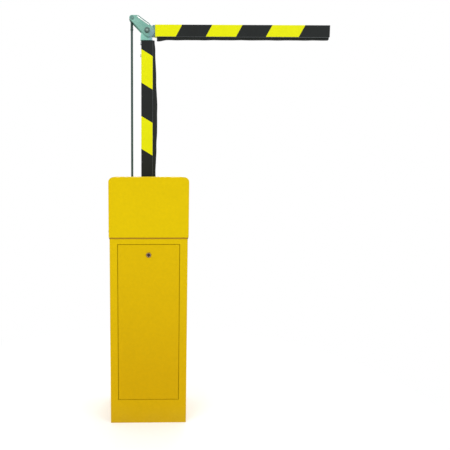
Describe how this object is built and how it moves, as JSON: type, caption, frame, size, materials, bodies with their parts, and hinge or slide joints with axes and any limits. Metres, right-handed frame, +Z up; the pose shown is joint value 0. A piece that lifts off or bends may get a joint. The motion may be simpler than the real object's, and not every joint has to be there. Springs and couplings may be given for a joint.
{
  "type": "folding-arm barrier gate",
  "caption": "Barrier gate with a yellow cabinet, a hood, a tilting access door and a striped two-section boom that a parallel rod folds at its elbow.",
  "frame": {"origin": "middle of the four anchor holes at ground level", "axes": "+Z up, the door faces -Y, the boom closes towards +X"},
  "size_m": [0.9632, 0.3591, 1.713],
  "materials": {
    "yellow_paint": "satin powder coat",
    "galvanised": "zinc plated, matte",
    "zinc_fasteners": "zinc plated",
    "green_zinc": "pale green passivated zinc",
    "bright_steel": "turned",
    "grey_rod": "dull grey",
    "cast_housing": "grey paint",
    "spring_steel": "oiled black",
    "chrome_lock": "polished",
    "black_film": "black film with yellow reflective bands",
    "rail_aluminium": "extruded",
    "black_rubber": "matte",
    "black_plastic": "moulded",
    "white_nylon": "moulded",
    "grey_plastic": "moulded",
    "board": "solder mask"
  },
  "bodies": {
    "root": {"base_plate": "galvanised", "cabinet_body": "yellow_paint", "hood": "yellow_paint", "cabinet_fasteners": "zinc_fasteners", "door_rebate": "yellow_paint", "door_seal": "black_rubber", "mechanism_plate": "galvanised", "front_bearing_plate": "galvanised", "tie_bars": "zinc_fasteners", "bearing_housings": "cast_housing", "shaft_bearings": "bright_steel", "balance_spring": "spring_steel", "frame_studs": "zinc_fasteners", "switch_bracket": "galvanised", "limit_switches": "black_plastic", "stop_buffers": "black_rubber", "gearbox_housing": "cast_housing", "motor_body": "cast_housing", "motor_fan_cover": "black_plastic", "motor_terminal_box": "black_plastic", "mounting_rails": "galvanised", "control_box": "grey_plastic", "control_box_lid": "grey_plastic", "control_board": "board", "cable_glands": "black_plastic", "rod_anchor_plate": "galvanised", "anchor_bolt": "zinc_fasteners"},
    "door": {"door_panel": "yellow_paint", "lock_housing": "chrome_lock", "lock_nut": "zinc_fasteners"},
    "lock": {"lock_plug": "chrome_lock", "lock_cam": "zinc_fasteners"},
    "main_arm": {"main_shaft": "bright_steel", "shaft_key_and_collars": "bright_steel", "rocker_lever": "grey_rod", "spring_guide": "white_nylon", "limit_cams": "bright_steel", "arm_hub": "galvanised", "arm_saddle": "galvanised", "inner_boom_tube": "black_film", "inner_boom_plug": "black_plastic", "inner_rail": "rail_aluminium", "inner_rubber_edge": "black_rubber", "inner_hinge_bracket": "green_zinc", "inner_boom_fasteners": "zinc_fasteners", "elbow_bush": "white_nylon"},
    "outer_arm": {"outer_boom_tube": "black_film", "boom_tip_cap": "black_plastic", "outer_rail": "rail_aluminium", "outer_rubber_edge": "black_rubber", "outer_hinge_bracket": "green_zinc", "outer_boom_fasteners": "zinc_fasteners", "elbow_spacers": "bright_steel", "ear_pin": "zinc_fasteners"},
    "parallel_rod": {"parallel_rod": "grey_rod", "rod_ends": "grey_rod", "rod_lock_nuts": "zinc_fasteners"},
    "crank": {"crank": "grey_rod", "output_shaft": "bright_steel"},
    "drive_rod": {"drive_rod": "grey_rod"}
  },
  "joints": [
    {"name": "arm_swing", "type": "hinge", "parent": "root", "child": "main_arm", "pos_m": [0, 0.163, 0.85], "axis": [0, 1, 0], "range_deg": [0, 90], "stiffness_Nm_per_rad": 12, "deforming": ["balance_spring"]},
    {"name": "outer_arm_fold", "type": "hinge", "parent": "main_arm", "child": "outer_arm", "pos_m": [0, 0.183, 1.65], "axis": [0, 1, 0], "range_deg": [-90, 0]},
    {"name": "parallel_rod_swing", "type": "hinge", "parent": "root", "child": "parallel_rod", "pos_m": [-0.066, 0.183, 0.902], "axis": [0, 1, 0], "range_deg": [0, 90]},
    {"name": "crank_turn", "type": "hinge", "parent": "root", "child": "crank", "pos_m": [0, 0.02, 0.62], "axis": [0, 1, 0], "range_deg": [0, 90]},
    {"name": "drive_rod_pivot", "type": "hinge", "parent": "crank", "child": "drive_rod", "pos_m": [0.0495, 0.006, 0.6695], "axis": [0, 1, 0], "range_deg": [-90, 0]},
    {"name": "door_tilt", "type": "hinge", "parent": "root", "child": "door", "pos_m": [0, -0.14, 0.102], "axis": [1, 0, 0], "range_deg": [0, 20]},
    {"name": "lock_turn", "type": "hinge", "parent": "door", "child": "lock", "pos_m": [0, -0.14, 0.709], "axis": [0, -1, 0], "range_deg": [0, 90]}
  ],
  "couplings": [
    {"joint": "outer_arm_fold", "follows": "arm_swing", "ratio": -1},
    {"joint": "parallel_rod_swing", "follows": "arm_swing", "ratio": 1},
    {"joint": "crank_turn", "follows": "arm_swing", "ratio": 1},
    {"joint": "drive_rod_pivot", "follows": "arm_swing", "ratio": -1}
  ]
}
